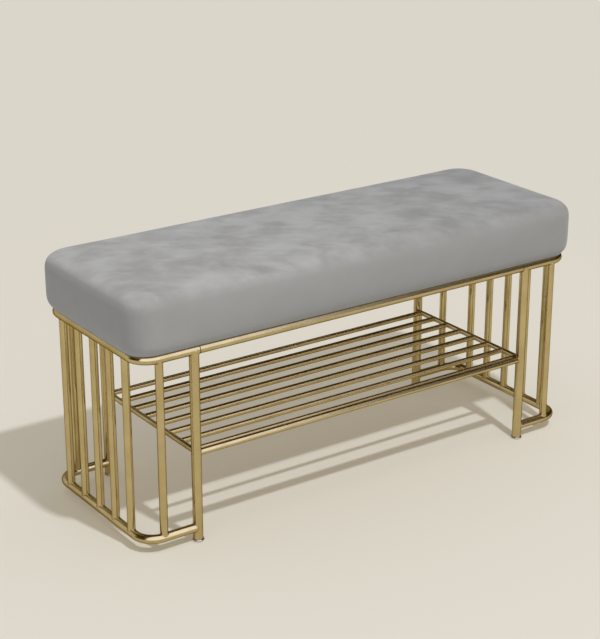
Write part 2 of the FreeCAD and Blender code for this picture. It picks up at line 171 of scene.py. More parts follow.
def makeGreyVelvet():
    # short polyester velvet: soft light rim, and paler or darker patches where hands have pressed the pile over;
    # painted shade darkens the right end and the two end faces
    look = velvetLook
    material, tree = startMaterial("greyVelvet")
    place = addNode(tree, "ShaderNodeTexCoord").outputs["Object"]
    turned = addNode(tree, "ShaderNodeMapping", {
        "Vector": place, "Rotation": (0, 0, look["strokeTurn"]),
        "Scale": (look["strokeStretch"], 1, 1)}, vector_type="TEXTURE")
    patch = addNode(tree, "ShaderNodeTexNoise", {
        "Vector": place, "Scale": 1 / look["patchSize"], "Detail": look["patchDetail"],
        "Roughness": look["patchRough"], "Distortion": look["patchTwist"]})
    stroke = addNode(tree, "ShaderNodeTexNoise", {
        "Vector": turned.outputs[0], "Scale": 1 / look["strokeSize"], "Detail": 2,
        "Distortion": look["strokeTwist"]})
    pile = addNode(tree, "ShaderNodeTexNoise", {  # real pile is about 0.3 mm, drawn coarser so that it shows
        "Vector": place, "Scale": 1 / look["pileSize"], "Detail": 2})

    def mapped(source, limits, lowest=0, smooth="SMOOTHSTEP"):
        return addNode(tree, "ShaderNodeMapRange", {0: source, 1: limits[0], 2: limits[1], 3: lowest, 4: 1},
                       interpolation_type=smooth).outputs[0]

    def mixOf(factor, first, second, **settings):
        return addNode(tree, "ShaderNodeMix", {0: factor, 6: first, 7: second}, **mixColour, **settings).outputs[2]

    marks = addNode(tree, "ShaderNodeMath", {0: stroke.outputs[0], 1: look["strokeShare"], 2: patch.outputs[0]},
                    operation="MULTIPLY_ADD")
    nap = mixOf(mapped(marks.outputs[0], look["markRange"]), linear(look["deep"]), linear(look["light"]))
    facing = addNode(tree, "ShaderNodeSeparateXYZ", {0: addNode(tree, "ShaderNodeNewGeometry").outputs["Normal"]})
    along = addNode(tree, "ShaderNodeSeparateXYZ", {0: place})
    rightShadeShare = mapped(along.outputs[0], look["rightShadeRun"], smooth="LINEAR")
    # painted shade: the colour is drawn darker and darker towards the right end, where less light falls
    napAndPaintedShade = mixOf(1, nap, mixOf(rightShadeShare, (1, 1, 1, 1), linear(look["rightEndShade"])), blend_type="MULTIPLY")
    sideways = addNode(tree, "ShaderNodeMath", {0: facing.outputs[0]}, operation="ABSOLUTE")
    # painted shade: the sides too are drawn darker towards the right end
    sides = mixOf(rightShadeShare, linear(look["side"]), linear(look["sideRightShade"]))
    # painted shade: the two end faces, which the lamp doesn't reach, are drawn deeper
    plain = mixOf(mapped(sideways.outputs[0], look["endShadeRange"]), sides, linear(look["end"]))
    # the sides are touched less, so they stay even
    colour = mixOf(mapped(facing.outputs[2], look["topRange"], look["sideMarks"]), plain, napAndPaintedShade)
    bump = addNode(tree, "ShaderNodeBump", {
        "Height": pile.outputs[0], "Strength": look["pileBump"], "Distance": look["pileDepth"]})
    shader = addNode(tree, "ShaderNodeBsdfPrincipled", {
        "Base Color": colour, "Roughness": look["rough"], "Specular IOR Level": look["shine"],
        "Sheen Weight": look["sheen"], "Sheen Roughness": look["sheenRough"],
        "Sheen Tint": linear(look["sheenTint"]), "Normal": bump.outputs[0]})
    addNode(tree, "ShaderNodeOutputMaterial", {0: shader.outputs[0]})
    return material


nickelLook = {"light": "#D2CDC1", "deep": "#B4AD9E", "scratchSize": 0.0012, "rough": (0.08, 0.16),
              "bump": 0.02, "bumpDepth": 0.0003}


def makePolishedNickel():
    # polished nickel on the turned feet: a clear mirror with faint rings of turning marks
    material, tree = startMaterial("polishedNickel")
    place = addNode(tree, "ShaderNodeTexCoord").outputs["Object"]
    marks = addNode(tree, "ShaderNodeTexNoise", {
        "Vector": place, "Scale": 1 / nickelLook["scratchSize"], "Detail": 2})
    tint = addNode(tree, "ShaderNodeMix", {
        0: marks.outputs[0], 6: linear(nickelLook["deep"]), 7: linear(nickelLook["light"])}, **mixColour)
    low, high = nickelLook["rough"]
    gloss = addNode(tree, "ShaderNodeMapRange", {0: marks.outputs[0], 3: low, 4: high})
    bump = addNode(tree, "ShaderNodeBump", {
        "Height": marks.outputs[0], "Strength": nickelLook["bump"], "Distance": nickelLook["bumpDepth"]})
    shader = addNode(tree, "ShaderNodeBsdfPrincipled", {
        "Base Color": tint.outputs[2], "Metallic": 1, "Roughness": gloss.outputs[0], "Normal": bump.outputs[0]})
    addNode(tree, "ShaderNodeOutputMaterial", {0: shader.outputs[0]})
    return material


zincLook = {"light": "#C9CDD0", "deep": "#9EA4A8", "spangleSize": 0.003, "rough": (0.3, 0.45)}


def makeZincSteel():
    # bright zinc plate on small steel parts: pale blue-grey with a patchy spangle
    material, tree = startMaterial("zincPlatedSteel")
    place = addNode(tree, "ShaderNodeTexCoord").outputs["Object"]
    spangle = addNode(tree, "ShaderNodeTexVoronoi", {"Vector": place, "Scale": 1 / zincLook["spangleSize"]})
    tint = addNode(tree, "ShaderNodeMix", {
        0: spangle.outputs["Distance"], 6: linear(zincLook["light"]), 7: linear(zincLook["deep"])}, **mixColour)
    low, high = zincLook["rough"]
    gloss = addNode(tree, "ShaderNodeMapRange", {0: spangle.outputs["Distance"], 3: low, 4: high})
    shader = addNode(tree, "ShaderNodeBsdfPrincipled", {
        "Base Color": tint.outputs[2], "Metallic": 1, "Roughness": gloss.outputs[0]})
    addNode(tree, "ShaderNodeOutputMaterial", {0: shader.outputs[0]})
    return material


clothLook = {"light": "#5C4E3E", "deep": "#463B2F", "fibreSize": 0.0025, "dimpleSize": 0.0035, "rough": 0.92,
             "shine": 0.2, "bump": 0.3, "bumpDepth": 0.0004}


def makeBlackCloth():
    # spunbond dust cover cloth: matt brown-black fibres pressed together in a fine grid of dimples
    material, tree = startMaterial("blackSpunbondCloth")
    place = addNode(tree, "ShaderNodeTexCoord").outputs["Object"]
    fibre = addNode(tree, "ShaderNodeTexNoise", {
        "Vector": place, "Scale": 1 / clothLook["fibreSize"], "Detail": 4, "Roughness": 0.7})
    dimple = addNode(tree, "ShaderNodeTexVoronoi", {
        "Vector": place, "Scale": 1 / clothLook["dimpleSize"], "Randomness": 0.2})
    tint = addNode(tree, "ShaderNodeMix", {
        0: fibre.outputs[0], 6: linear(clothLook["deep"]), 7: linear(clothLook["light"])}, **mixColour)
    height = addNode(tree, "ShaderNodeMath", {0: fibre.outputs[0], 1: dimple.outputs["Distance"]}, operation="ADD")
    bump = addNode(tree, "ShaderNodeBump", {
        "Height": height.outputs[0], "Strength": clothLook["bump"], "Distance": clothLook["bumpDepth"]})
    shader = addNode(tree, "ShaderNodeBsdfPrincipled", {
        "Base Color": tint.outputs[2], "Roughness": clothLook["rough"], "Specular IOR Level": clothLook["shine"],
        "Normal": bump.outputs[0]})
    addNode(tree, "ShaderNodeOutputMaterial", {0: shader.outputs[0]})
    return material


plyLook = {"light": "#C9A677", "deep": "#A98252", "grainWidth": 0.006, "grainStretch": 14, "rough": 0.7,
           "bump": 0.1, "bumpDepth": 0.0005}


def makePlywood():
    # sanded birch plywood: pale figure that runs along the board
    material, tree = startMaterial("birchPlywood")
    place = addNode(tree, "ShaderNodeTexCoord").outputs["Object"]
    along = addNode(tree, "ShaderNodeMapping", {"Vector": place, "Scale": (1 / plyLook["grainStretch"], 1, 1)})
    figure = addNode(tree, "ShaderNodeTexNoise", {
        "Vector": along.outputs[0], "Scale": 1 / plyLook["grainWidth"], "Detail": 5, "Distortion": 0.8})
    tint = addNode(tree, "ShaderNodeMix", {
        0: figure.outputs[0], 6: linear(plyLook["deep"]), 7: linear(plyLook["light"])}, **mixColour)
    bump = addNode(tree, "ShaderNodeBump", {
        "Height": figure.outputs[0], "Strength": plyLook["bump"], "Distance": plyLook["bumpDepth"]})
    shader = addNode(tree, "ShaderNodeBsdfPrincipled", {
        "Base Color": tint.outputs[2], "Roughness": plyLook["rough"], "Normal": bump.outputs[0]})
    addNode(tree, "ShaderNodeOutputMaterial", {0: shader.outputs[0]})
    return material


plasticLook = {"light": "#2A2A2B", "deep": "#1B1B1C", "grainSize": 0.0015, "rough": 0.5,
               "bump": 0.1, "bumpDepth": 0.0003}


def makeBlackPlastic():
    # moulded black polyethylene: low sheen with a fine mould grain
    material, tree = startMaterial("blackPolyethylene")
    place = addNode(tree, "ShaderNodeTexCoord").outputs["Object"]
    grain = addNode(tree, "ShaderNodeTexNoise", {
        "Vector": place, "Scale": 1 / plasticLook["grainSize"], "Detail": 2})
    tint = addNode(tree, "ShaderNodeMix", {
        0: grain.outputs[0], 6: linear(plasticLook["deep"]), 7: linear(plasticLook["light"])}, **mixColour)
    bump = addNode(tree, "ShaderNodeBump", {
        "Height": grain.outputs[0], "Strength": plasticLook["bump"], "Distance": plasticLook["bumpDepth"]})
    shader = addNode(tree, "ShaderNodeBsdfPrincipled", {
        "Base Color": tint.outputs[2], "Roughness": plasticLook["rough"], "Normal": bump.outputs[0]})
    addNode(tree, "ShaderNodeOutputMaterial", {0: shader.outputs[0]})
    return material


foamLook = {"light": "#EDE4C6", "deep": "#CFC198", "cellSize": 0.002, "rough": 0.95}


def makeFoam():
    # open-cell polyurethane foam: cream, with a fine web of cells
    material, tree = startMaterial("creamFoam")
    place = addNode(tree, "ShaderNodeTexCoord").outputs["Object"]
    cell = addNode(tree, "ShaderNodeTexVoronoi", {"Vector": place, "Scale": 1 / foamLook["cellSize"]})
    tint = addNode(tree, "ShaderNodeMix", {
        0: cell.outputs["Distance"], 6: linear(foamLook["deep"]), 7: linear(foamLook["light"])}, **mixColour)
    shader = addNode(tree, "ShaderNodeBsdfPrincipled", {
        "Base Color": tint.outputs[2], "Roughness": foamLook["rough"]})
    addNode(tree, "ShaderNodeOutputMaterial", {0: shader.outputs[0]})
    return material


finishes = {
    "satin_brass": makeBrass("satinBrassPlate", brassLook), "polished_nickel": makePolishedNickel(),
    "grey_velvet": makeGreyVelvet(), "foam": makeFoam(), "black_cloth": makeBlackCloth(), "plywood": makePlywood(),
    "black_plastic": makeBlackPlastic(), "zinc_steel": makeZincSteel(),
}
# the rods' darker colour is painted shade from the seat above
seatShadedRodFinish = makeBrass("flatBrassPlateSeatShade", seatShadedRodLook)
for part in frame["record"]["subparts"]:
    isRod = part["node"].startswith("shelf_rod")
    slots = nodes[part["node"]].data.materials
    slots.clear()
    slots.append(seatShadedRodFinish if isRod else finishes[part["material_slot"]])
print("finishes set on the frame's nodes")


# Cushion: one closed form, swollen by cloth pressure, with a pocket underneath for the seat board

cushionSizes = {
    "cornerRadius": 0.044, "edgeRadius": 0.027, "crown": 0.003, "bottomInset": 0.011, "uprightBand": 0.008,
    "sidePower": 10, "startInset": 0.0018, "startDrop": 0.0025, "endStretch": 0.0022, "voxel": 0.0062,
    "skirt": 0.02,
    "pressure": 0.3, "stiffness": 80, "frames": 20, "swell": 0.006,
    "hemWidth": 0.040, "coverThickness": 0.0015, "boardGap": 0.0003, "fill": 0.85,
    "sideSteps": 12, "edgeSteps": 8, "topLoops": 8, "crownPower": 4,
}


def roundedLoop(halfLength, halfDepth, radius, z, steps=8):
    points = []
    corners = ((1, 1, 0), (-1, 1, 1), (-1, -1, 2), (1, -1, 3))
    for sideX, sideY, quarter in corners:
        for step in range(steps + 1):
            angle = (quarter + step / steps) * math.pi / 2
            points.append((sideX * (halfLength - radius) + radius * math.cos(angle),
                           sideY * (halfDepth - radius) + radius * math.sin(angle), z))
    return points


def loftLoops(name, loops):
    # closed solid through loops that all have the same number of points
    shape = bmesh.new()
    rings = [[shape.verts.new(p) for p in loop] for loop in loops]
    count = len(rings[0])
    for lower, upper in zip(rings, rings[1:]):
        for i in range(count):
            j = (i + 1) % count
            shape.faces.new((lower[i], lower[j], upper[j], upper[i]))
    shape.faces.new(rings[0][::-1])
    shape.faces.new(rings[-1])
    bmesh.ops.recalc_face_normals(shape, faces=shape.faces)
    return meshFrom(shape, name)


def cushionLoops(low, high, skin):
    s = cushionSizes
    halfLength = (high.x - low.x) / 2 + s["endStretch"]
    halfDepth = (high.y - low.y) / 2
    top = high.z - low.z - s["startDrop"]
    edge = s["edgeRadius"] - skin
    shoulder = top - s["crown"] - edge
    belly = shoulder - s["uprightBand"]
    levels = [(skin + s["bottomInset"], -s["skirt"])]  # a skirt that the underside's cut takes off
    for step in range(s["sideSteps"] + 1):
        up = (step / s["sideSteps"]) ** 2  # closer steps near the bottom, where the side curves most
        levels.append((skin + s["bottomInset"] * (1 - up) ** s["sidePower"], belly * up))
    for step in range(s["edgeSteps"] + 1):
        angle = step / s["edgeSteps"] * math.pi / 2
        levels.append((skin + edge * (1 - math.cos(angle)), shoulder + edge * math.sin(angle)))
    for step in range(1, s["topLoops"] + 1):
        share = step / (s["topLoops"] + 2)  # the last loop stays short of the middle, and a flat face closes it
        levels.append((skin + edge + share * (halfDepth - skin - edge),
                       shoulder + edge + s["crown"] * (1 - (1 - share) ** s["crownPower"])))
    loops = []
    for inset, z in levels:
        radius = s["cornerRadius"] * (1 - inset / halfDepth)
        loops.append(roundedLoop(halfLength - inset, halfDepth - inset, radius, low.z + z))
    return loops


def swellCushion(piece, floorZ):
    # cloth pressure with the underside pinned, then a cap on how far any point has moved
    s = cushionSizes
    pinned = [v.index for v in piece.data.vertices if v.co.z < floorZ + s["voxel"] / 2]
    group = piece.vertex_groups.new(name="underside")
    group.add(pinned, 1, "REPLACE")
    start = [v.co.copy() for v in piece.data.vertices]
    cloth = piece.modifiers.new("pressure", "CLOTH")
    cloth.settings.use_pressure = True
    cloth.settings.uniform_pressure_force = s["pressure"]
    cloth.settings.effector_weights.gravity = 0
    cloth.settings.tension_stiffness = s["stiffness"]
    cloth.settings.compression_stiffness = s["stiffness"]
    cloth.settings.shear_stiffness = s["stiffness"]
    cloth.settings.vertex_group_mass = group.name
    for step in range(1, s["frames"] + 1):
        scene.frame_set(step)
    bakeModifiers(piece)
    scene.frame_set(1)
    furthest = 0
    for vertex, before in zip(piece.data.vertices, start):
        move = vertex.co - before
        furthest = max(furthest, move.length)
        if move.length > s["swell"]:
            vertex.co = before + move * (s["swell"] / move.length)
    print("cushion swollen, furthest point moved", round(furthest * 1000, 1), "mm before the cap")


def carveUnderside(piece, low, high):
    # a flat cut, then the opening inside the turned hem, then the room of the board above it
    s = cushionSizes
    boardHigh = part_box("seat_board")[1]
    hem = s["bottomInset"] + s["hemWidth"]
    gap = s["boardGap"]
    cutLoop = (high.x + hem, high.y + hem, hem)
    hemLoop = (high.x - hem, high.y - hem, s["cornerRadius"] / 2)
    boardLoop = (boardHigh.x + gap, boardHigh.y + gap, s["cornerRadius"] - (high.x - boardHigh.x) + gap)
    pocket = addObject("pocket", loftLoops("pocket", [
        roundedLoop(*cutLoop, low.z - 2 * s["skirt"]), roundedLoop(*cutLoop, low.z),
        roundedLoop(*hemLoop, low.z), roundedLoop(*hemLoop, low.z + s["coverThickness"]),
        roundedLoop(*boardLoop, low.z + s["coverThickness"]), roundedLoop(*boardLoop, boardHigh.z + gap)]))
    cutAway(piece, pocket, "boardPocket")


def makeCushion():
    s = cushionSizes
    low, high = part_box("seat_cover")
    piece = addObject("cushion", loftLoops("cushion", cushionLoops(low, high, s["startInset"])))
    remesh = piece.modifiers.new("evenCells", "REMESH")
    remesh.mode = "VOXEL"
    remesh.voxel_size = s["voxel"]
    bakeModifiers(piece)
    swellCushion(piece, low.z)
    finer = piece.modifiers.new("finer", "SUBSURF")
    finer.levels = 1
    finer.render_levels = 1
    bakeModifiers(piece)
    carveUnderside(piece, low, high)
    smoothIn(piece.data, finishes["grey_velvet"])
    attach(piece, "bench")
    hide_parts("seat_cover", "seat_foam")
    print("cushion made,", len(piece.data.polygons), "faces")


makeCushion()


# Dust cover: brown-black cloth stretched under the seat, held by the straps and a row of staples

dustSizes = {
    "cornerRadius": 0.017, "cell": 0.008, "sag": 0.0028, "stapled": 0.012, "pressed": 0.002, "rim": 0.055,
    "ripple": 0.0004, "rippleSize": 0.05, "screwHole": 0.0033, "holeSides": 24, "holeDepth": 0.01, "washer": 0.016,
}


def smoothStep(value, start, end):
    share = min(max((value - start) / (end - start), 0), 1)
    return share * share * (3 - 2 * share)


def strapMiddles():
    boxes = [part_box(f"{name}_seat_strap") for name in ("left", "middle", "right")]
    return [(low.x + high.x) / 2 for low, high in boxes], (boxes[0][1].x - boxes[0][0].x) / 2


def makeDustCover():
    s = dustSizes
    low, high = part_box("dust_cover")
    radius = s["cornerRadius"]
    middles, halfStrap = strapMiddles()
    acrossCount = round((high.x - low.x) / s["cell"])
    deepCount = round((high.y - low.y) / s["cell"])

    def place(column, row):
        x = low.x + (high.x - low.x) * column / acrossCount
        y = low.y + (high.y - low.y) * row / deepCount
        pastX = (abs(x) - (high.x - radius)) / radius
        pastY = (abs(y) - (high.y - radius)) / radius
        if pastX > 0 and pastY > 0:  # square corner pressed into a round one
            x = math.copysign(high.x - radius + radius * pastX * math.sqrt(1 - pastY ** 2 / 2), x)
            y = math.copysign(high.y - radius + radius * pastY * math.sqrt(1 - pastX ** 2 / 2), y)
        free = smoothStep(min(high.x - abs(x), high.y - abs(y)), s["stapled"], s["rim"])
        for middle in middles:
            free *= smoothStep(abs(x - middle) - halfStrap, s["pressed"], s["rim"])
        wave = noise.noise(Vector((x, y, 0)) / s["rippleSize"])
        return x, y, low.z - free * (s["sag"] + s["ripple"] * wave)

    shape = bmesh.new()
    grid = [[shape.verts.new(place(c, r)) for c in range(acrossCount + 1)] for r in range(deepCount + 1)]
    for r in range(deepCount):
        for c in range(acrossCount):
            shape.faces.new((grid[r][c], grid[r + 1][c], grid[r + 1][c + 1], grid[r][c + 1]))  # faces down
    piece = addObject("dustCover", meshFrom(shape, "dustCover"))
    thick = piece.modifiers.new("thickness", "SOLIDIFY")
    thick.thickness = high.z - low.z
    thick.offset = -1
    bakeModifiers(piece)
    holes = bmesh.new()
    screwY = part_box("seat_washers")[1].y - s["washer"] / 2
    for x in middles:
        for y in (-screwY, screwY):
            bmesh.ops.create_cone(holes, cap_ends=True, segments=s["holeSides"], radius1=s["screwHole"],
                                  radius2=s["screwHole"], depth=s["holeDepth"],
                                  matrix=Matrix.Translation((x, y, low.z)))
    holePiece = addObject("screwHoles", meshFrom(holes, "screwHoles"))
    cutAway(piece, holePiece, "screwHoles")
    smoothIn(piece.data, finishes["black_cloth"])
    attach(piece, "bench")
    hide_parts("dust_cover")
    print("dust cover made,", len(piece.data.polygons), "faces")


makeDustCover()


# Geometry Nodes helpers

def startTree(name, inputs):
    # inputs: socket name -> socket kind; every tree takes and gives a geometry
    tree = bpy.data.node_groups.new(name, "GeometryNodeTree")
    tree.interface.new_socket("Geometry", in_out="INPUT", socket_type="NodeSocketGeometry")
    for label, kind in inputs.items():
        tree.interface.new_socket(label, in_out="INPUT", socket_type=kind)
    tree.interface.new_socket("Geometry", in_out="OUTPUT", socket_type="NodeSocketGeometry")
    return tree, addNode(tree, "NodeGroupInput").outputs


def endTree(tree, geometry, material):
    whole = addNode(tree, "GeometryNodeRealizeInstances", {0: geometry})
    smooth = addNode(tree, "GeometryNodeSetShadeSmooth", {0: whole.outputs[0]})
    dressed = addNode(tree, "GeometryNodeSetMaterial", {0: smooth.outputs[0], "Material": material})
    addNode(tree, "NodeGroupOutput", {0: dressed.outputs[0]})


def growWith(piece, tree, values):
    # runs the tree on the piece with these inputs, and leaves a plain mesh
    modifier = piece.modifiers.new(tree.name, "NODES")
    modifier.node_group = tree
    for item in tree.interface.items_tree:
        if item.in_out == "INPUT" and item.name in values:
            modifier[item.identifier] = values[item.name]
    bakeModifiers(piece)


def pathMesh(name, runs):
    # runs: lists of points, each with True where it closes on itself
    shape = bmesh.new()
    for points, closed in runs:
        line = [shape.verts.new(p) for p in points]
        for first, second in zip(line, line[1:] + line[:1] if closed else line[1:]):
            shape.edges.new((first, second))
    return meshFrom(shape, name)


# Staples round the dust cover, clear of the straps

stapleSizes = {"spacing": 0.045, "edge": 0.006, "crown": 0.010, "leg": 0.005, "bend": 0.0009, "wire": 0.0006,
               "width": 0.0012, "strapClear": 0.012}


def stapleMesh():
    s = stapleSizes
    half, bend = s["crown"] / 2, s["bend"]
    path = [(-half, s["leg"]), (-half, bend), (-half + bend, 0), (half - bend, 0), (half, bend), (half, s["leg"])]
    # which way the wire's inner face looks at each point
    sideways = [(1, 0), (0.92, 0.38), (0.38, 0.92), (-0.38, 0.92), (-0.92, 0.38), (-1, 0)]
    shape = bmesh.new()
    rings = []
    for (x, z), (outX, outZ) in zip(path, sideways):
        ring = []
        for wide, thick in ((-1, -1), (1, -1), (1, 1), (-1, 1)):
            ring.append(shape.verts.new((x + outX * thick * s["wire"] / 2, wide * s["width"] / 2,
                                         z + outZ * thick * s["wire"] / 2)))
        rings.append(ring)
    for first, second in zip(rings, rings[1:]):
        for i in range(4):
            j = (i + 1) % 4
            shape.faces.new((first[i], first[j], second[j], second[i]))
    shape.faces.new(rings[0][::-1])
    shape.faces.new(rings[-1])
    bmesh.ops.recalc_face_normals(shape, faces=shape.faces)
    return meshFrom(shape, "staple")


def stapleTree():
    # one staple at each step along the lines, turned with them
    tree, source = startTree("stapleRow", {
        "Staple": "NodeSocketObject", "Spacing": "NodeSocketFloat", "Material": "NodeSocketMaterial"})
    line = addNode(tree, "GeometryNodeMeshToCurve", {0: source["Geometry"]})
    points = addNode(tree, "GeometryNodeCurveToPoints", {0: line.outputs[0], "Length": source["Spacing"]},
                     mode="LENGTH")
    turn = addNode(tree, "FunctionNodeAlignRotationToVector", {"Vector": points.outputs["Tangent"]}, axis="X")
    shape = addNode(tree, "GeometryNodeObjectInfo", {"Object": source["Staple"]})
    many = addNode(tree, "GeometryNodeInstanceOnPoints", {
        "Points": points.outputs[0], "Instance": shape.outputs["Geometry"], "Rotation": turn.outputs[0]})
    endTree(tree, many.outputs[0], source["Material"])
    return tree


def makeStaples():
    s = stapleSizes
    low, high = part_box("dust_cover")
    middles, halfStrap = strapMiddles()
    away = halfStrap + s["strapClear"]
    edgeX, edgeY = high.x - s["edge"], high.y - s["edge"]
    z = low.z - s["wire"] / 2
    stops = [-edgeX + 2 * s["crown"]]
    for middle in middles:
        stops += [middle - away, middle + away]
    stops.append(-stops[0])
    runs = []
    for y in (-edgeY, edgeY):
        for start, end in zip(stops[::2], stops[1::2]):
            runs.append(([(start, y, z), (end, y, z)], False))
    for x in (-edgeX, edgeX):
        runs.append(([(x, -edgeY + 2 * s["crown"], z), (x, edgeY - 2 * s["crown"], z)], False))
    one = addObject("staple", stapleMesh())
    piece = addObject("staples", pathMesh("staples", runs))
    growWith(piece, stapleTree(), {"Staple": one, "Spacing": s["spacing"], "Material": finishes["zinc_steel"]})
    bpy.data.objects.remove(one)
    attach(piece, "bench")
    print("staples made,", len(piece.data.polygons), "faces")


makeStaples()


# Weld beads where a tube ends on another one, seams of the ring, and the blends of the posts into it

weldSizes = {
    "bead": 0.0008, "seam": 0.0007, "ripple": 0.0003, "rippleSize": 0.004, "steps": 28, "sides": 8,
    "blend": 0.0038, "blendSteps": 5, "sink": 0.00015, "core": 0.0015,
}


def middleOf(node):
    low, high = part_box(node)
    return (low + high) / 2


def weldRun(centre, along, across, small, large):
    # saddle-shaped line where a tube of radius small, running along, ends on a tube of radius large
    side = along.cross(across)
    points = []
    for step in range(weldSizes["steps"]):
        angle = 2 * math.pi * step / weldSizes["steps"]
        sideways = small * math.sin(angle)
        height = math.sqrt(max(large ** 2 - sideways ** 2, 0))
        points.append(centre + across * small * math.cos(angle) + side * sideways + along * height)
    return points, True


def blendRing(shape, centre, post, ring):
    # smooth welded blend from a post's top into the ring that runs along X over it, as a closed band
    s = weldSizes
    bands = []
    for step in range(2 * s["steps"]):
        angle = math.pi * step / s["steps"]
        alongX, alongY = math.cos(angle), math.sin(angle)
        lean = math.asin(max(-1, min(1, post * alongY / ring)))  # round the ring, from straight down
        further = lean + s["blend"] / ring * alongY
        corner = Vector((post * alongX, post * alongY, -ring * math.cos(lean)))
        low = Vector(((post - s["sink"]) * alongX, (post - s["sink"]) * alongY, corner.z - s["blend"]))
        inside = ring - s["sink"]
        high = Vector(((post + s["blend"]) * alongX, inside * math.sin(further), -inside * math.cos(further)))
        core = (low + high) / 2 - Vector((alongX, alongY, -1)) * s["core"]
        band = []
        for number in range(s["blendSteps"] + 1):
            t = number / s["blendSteps"]
            band.append(low * (1 - t) ** 2 + corner * 2 * t * (1 - t) + high * t ** 2)
        bands.append([shape.verts.new(centre + p) for p in band + [core]])
    for first, second in zip(bands, bands[1:] + bands[:1]):
        for i in range(len(first)):
            j = (i + 1) % len(first)
            shape.faces.new((first[i], second[i], second[j], first[j]))


def weldTree():
    # a bead along each line, with a slight ripple
    tree, source = startTree("weldBead", {
        "Bead": "NodeSocketFloat", "Ripple": "NodeSocketFloat", "Ripple Size": "NodeSocketFloat",
        "Material": "NodeSocketMaterial"})
    line = addNode(tree, "GeometryNodeMeshToCurve", {0: source["Geometry"]})
    ring = addNode(tree, "GeometryNodeCurvePrimitiveCircle", {
        "Resolution": weldSizes["sides"], "Radius": source["Bead"]})
    bead = addNode(tree, "GeometryNodeCurveToMesh", {
        "Curve": line.outputs[0], "Profile Curve": ring.outputs[0], "Fill Caps": True})
    scale = addNode(tree, "ShaderNodeMath", {0: 1.0, 1: source["Ripple Size"]}, operation="DIVIDE")
    wave = addNode(tree, "ShaderNodeTexNoise", {"Scale": scale.outputs[0], "Detail": 1})
    centred = addNode(tree, "ShaderNodeMath", {0: wave.outputs[0], 1: 0.5}, operation="SUBTRACT")
    height = addNode(tree, "ShaderNodeMath", {0: centred.outputs[0], 1: source["Ripple"]}, operation="MULTIPLY")
    normal = addNode(tree, "GeometryNodeInputNormal")
    move = addNode(tree, "ShaderNodeVectorMath", {0: normal.outputs[0], "Scale": height.outputs[0]},
                   operation="SCALE")
    rough = addNode(tree, "GeometryNodeSetPosition", {0: bead.outputs[0], "Offset": move.outputs[0]})
    endTree(tree, rough.outputs[0], source["Material"])
    return tree


def makeWelds():
    s = weldSizes
    alongX, alongY, up = Vector((1, 0, 0)), Vector((0, 1, 0)), Vector((0, 0, 1))
    runs, seams = [], []
    blends = bmesh.new()
    for side, outward in (("left", -1), ("right", 1)):
        ringZ = middleOf(f"{side}_top_bend").z
        baseZ = middleOf(f"{side}_base_rail").z
        railLow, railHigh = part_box(f"{side}_base_rail")
        rail = (railHigh.z - railLow.z) / 2
        for name in ["end_bar_%d" % number for number in range(1, 6)] + ["front_bar", "back_bar"]:
            low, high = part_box(f"{side}_{name}")
            bar = (high.x - low.x) / 2
            railRun = alongY if name.startswith("end") else alongX
            x, y = (low.x + high.x) / 2, (low.y + high.y) / 2
            runs.append(weldRun(Vector((x, y, baseZ)), up, railRun, bar, rail))
            runs.append(weldRun(Vector((x, y, ringZ)), -up, railRun, bar, rail))
        shelfLow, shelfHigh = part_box(f"{side}_shelf_tube")
        shelf = (shelfHigh.x - shelfLow.x) / 2
        shelfZ = (shelfLow.z + shelfHigh.z) / 2
        for face, inward in (("front", 1), ("back", -1)):
            low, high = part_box(f"{face}_{side}_post")
            post = (high.x - low.x) / 2
            x, y = (low.x + high.x) / 2, (low.y + high.y) / 2
            runs.append(weldRun(Vector((x, y, baseZ)), alongX * outward, up, rail, post))
            blendRing(blends, Vector((x, y, ringZ)), post, rail)
            seams.append(weldRun(Vector((x - outward * post, y, ringZ)), alongX, up, rail, 0))
            if face == "front":
                railLow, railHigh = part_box("shelf_front_rail")
                start = Vector((x, y, (railLow.z + railHigh.z) / 2))
                runs.append(weldRun(start, alongX * -outward, up, (railHigh.z - railLow.z) / 2, post))
            runs.append(weldRun(Vector((x, y, shelfZ)), alongY * inward, up, shelf, post))
        for number in range(1, 9):
            low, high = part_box(f"shelf_rod_{number}")
            rod = (high.z - low.z) / 2
            start = Vector((middleOf(f"{side}_shelf_tube").x, (low.y + high.y) / 2, shelfZ))
            runs.append(weldRun(start, alongX * -outward, alongY, rod, shelf))
    tree = weldTree()
    seamShade = makeBrass("dullBrassSeam", seamLook)
    for name, lines, bead, finish in (("weldBeads", runs, s["bead"], finishes["satin_brass"]),
                                      ("ringSeams", seams, s["seam"], seamShade)):
        piece = addObject(name, pathMesh(name, lines))
        growWith(piece, tree, {"Bead": bead, "Ripple": s["ripple"] * bead / s["bead"],
                               "Ripple Size": s["rippleSize"], "Material": finish})
        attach(piece, "bench")
        print(name, "made,", len(lines), "runs,", len(piece.data.polygons), "faces")
    bmesh.ops.recalc_face_normals(blends, faces=blends.faces)
    mesh = meshFrom(blends, "postBlends")
    smoothIn(mesh, finishes["satin_brass"])
    piece = addObject("postBlends", mesh)
    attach(piece, "bench")
    print("postBlends made,", len(mesh.polygons), "faces")


makeWelds()


# Stage: floor, light and camera

floorLook = {"paint": "#DEDED9", "radius": 30, "sides": 96, "cloudScale": 0.6, "rough": (0.88, 0.94), "shine": 0.1,
             # painted light: the warm glow tint fills the bench's shadow as bounce light from the brass
             "glow": 0.22, "shadowFillTint": "#E6CE9E", "farTint": "#DBD6CA", "fade": (0.9, 2.2)}
lampLook = {"place": (-0.025, -2.41, 4.63), "radius": 0.11, "level": 1.65}
roomLook = {
    "light": 0.54,  # what falls on the bench from all round
    "softBox": 2.32, "boxTint": "#D9DDFF", "boxRight": 0.53, "rightEdge": 0.015, "boxLeft": 63, "leftEdge": 0.06,
    "dim": 0.06, "dimTint": "#FFD891",
    "wallLeft": 0.7, "wallRight": 0.36, "wallTop": (0.42, 0.68), "wallFront": (0.34, 0.58), "wallTurn": (-0.3, 0.5),
}


